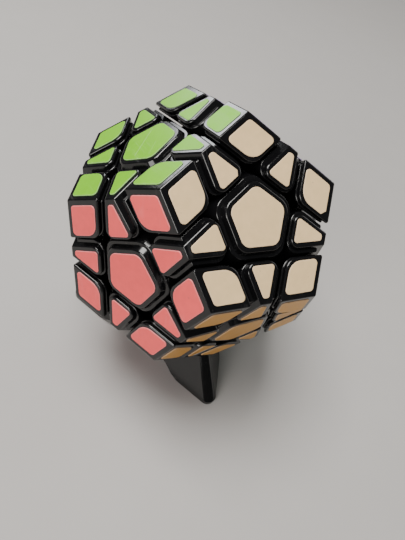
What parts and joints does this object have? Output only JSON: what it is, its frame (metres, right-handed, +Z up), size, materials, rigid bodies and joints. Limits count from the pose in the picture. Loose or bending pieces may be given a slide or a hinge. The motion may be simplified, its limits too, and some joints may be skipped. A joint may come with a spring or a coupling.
{
  "type": "dodecahedron twisty puzzle",
  "caption": "Dodecahedron twisty puzzle with coloured pentagonal faces, standing on one corner in a three-cornered black stand.",
  "frame": {"origin": "under the middle of the whole object's box, on the surface it stands on; the upright axis through the stand and the puzzle is 0.86 mm behind it, at y = 0.00086, because the turned cream layer reaches further forward", "axes": "+Z up along the axis through the puzzle's lowest and highest corners; -Y towards the stand's front corner and the cream and gold faces; +X to the right as seen from the front"},
  "size_m": [0.0798, 0.0762, 0.0936],
  "materials": {
    "black_plastic": "polished black ABS",
    "stand_plastic": "polished black styrene",
    "core_plastic": "natural moulded nylon",
    "screw_steel": "zinc plated",
    "spring_steel": "bright drawn wire",
    "sticker_lime": "thin vinyl film, lightly worn",
    "sticker_cream": "thin vinyl film, lightly worn",
    "sticker_orange": "thin vinyl film, lightly worn",
    "sticker_yellow": "thin vinyl film, lightly worn",
    "sticker_pink": "thin vinyl film, lightly worn",
    "sticker_sky": "thin vinyl film, lightly worn",
    "sticker_gold": "thin vinyl film, lightly worn",
    "sticker_purple": "thin vinyl film, lightly worn",
    "sticker_blue": "thin vinyl film, lightly worn",
    "sticker_green": "thin vinyl film, lightly worn",
    "sticker_white": "thin vinyl film, lightly worn",
    "sticker_red": "thin vinyl film, lightly worn"
  },
  "bodies": {
    "stand": {"stand": "stand_plastic"},
    "puzzle_core": {"body_centre_bases": "black_plastic", "body_centre_caps": "black_plastic", "body_corners": "black_plastic", "body_edges": "black_plastic", "body_stickers_gold": "sticker_gold", "body_stickers_green": "sticker_green", "body_stickers_lime": "sticker_lime", "body_stickers_pink": "sticker_pink", "body_stickers_purple": "sticker_purple", "body_stickers_red": "sticker_red", "body_stickers_sky": "sticker_sky", "body_stickers_white": "sticker_white", "body_stickers_yellow": "sticker_yellow", "core_lower_half": "core_plastic", "core_screws": "screw_steel", "core_springs": "spring_steel", "core_upper_half": "core_plastic", "core_washers": "screw_steel"},
    "cream_layer": {"cream_centre_base": "black_plastic", "cream_centre_cap": "black_plastic", "cream_gold_edge": "black_plastic", "cream_lime_edge": "black_plastic", "cream_lime_pink_corner": "black_plastic", "cream_lime_purple_corner": "black_plastic", "cream_pink_edge": "black_plastic", "cream_pink_gold_corner": "black_plastic", "cream_purple_edge": "black_plastic", "cream_purple_sky_corner": "black_plastic", "cream_sky_edge": "black_plastic", "cream_sky_gold_corner": "black_plastic", "cream_stickers_cream": "sticker_cream", "cream_stickers_gold": "sticker_gold", "cream_stickers_lime": "sticker_lime", "cream_stickers_pink": "sticker_pink", "cream_stickers_purple": "sticker_purple", "cream_stickers_sky": "sticker_sky"},
    "orange_layer": {"orange_centre_base": "black_plastic", "orange_centre_cap": "black_plastic", "orange_corners": "black_plastic", "orange_edges": "black_plastic", "orange_stickers_green": "sticker_green", "orange_stickers_orange": "sticker_orange", "orange_stickers_purple": "sticker_purple", "orange_stickers_sky": "sticker_sky", "orange_stickers_white": "sticker_white", "orange_stickers_yellow": "sticker_yellow"},
    "blue_layer": {"blue_centre_base": "black_plastic", "blue_centre_cap": "black_plastic", "blue_corners": "black_plastic", "blue_edges": "black_plastic", "blue_stickers_blue": "sticker_blue", "blue_stickers_lime": "sticker_lime", "blue_stickers_pink": "sticker_pink", "blue_stickers_red": "sticker_red", "blue_stickers_white": "sticker_white", "blue_stickers_yellow": "sticker_yellow"}
  },
  "joints": [
    {"name": "lift_off", "type": "slide", "parent": "stand", "child": "puzzle_core", "axis": [0, 0, 1], "range_m": [0, 0.06]},
    {"name": "cream_layer_turn", "type": "hinge", "parent": "puzzle_core", "child": "cream_layer", "pos_m": [0, 0.00086, 0.051], "axis": [0, -0.6071, 0.7947], "continuous": true},
    {"name": "orange_layer_turn", "type": "hinge", "parent": "puzzle_core", "child": "orange_layer", "pos_m": [0, 0.00086, 0.051], "axis": [0.8507, 0.4911, -0.1876], "continuous": true},
    {"name": "blue_layer_turn", "type": "hinge", "parent": "puzzle_core", "child": "blue_layer", "pos_m": [0, 0.00086, 0.051], "axis": [-0.8507, 0.4911, -0.1876], "continuous": true}
  ]
}
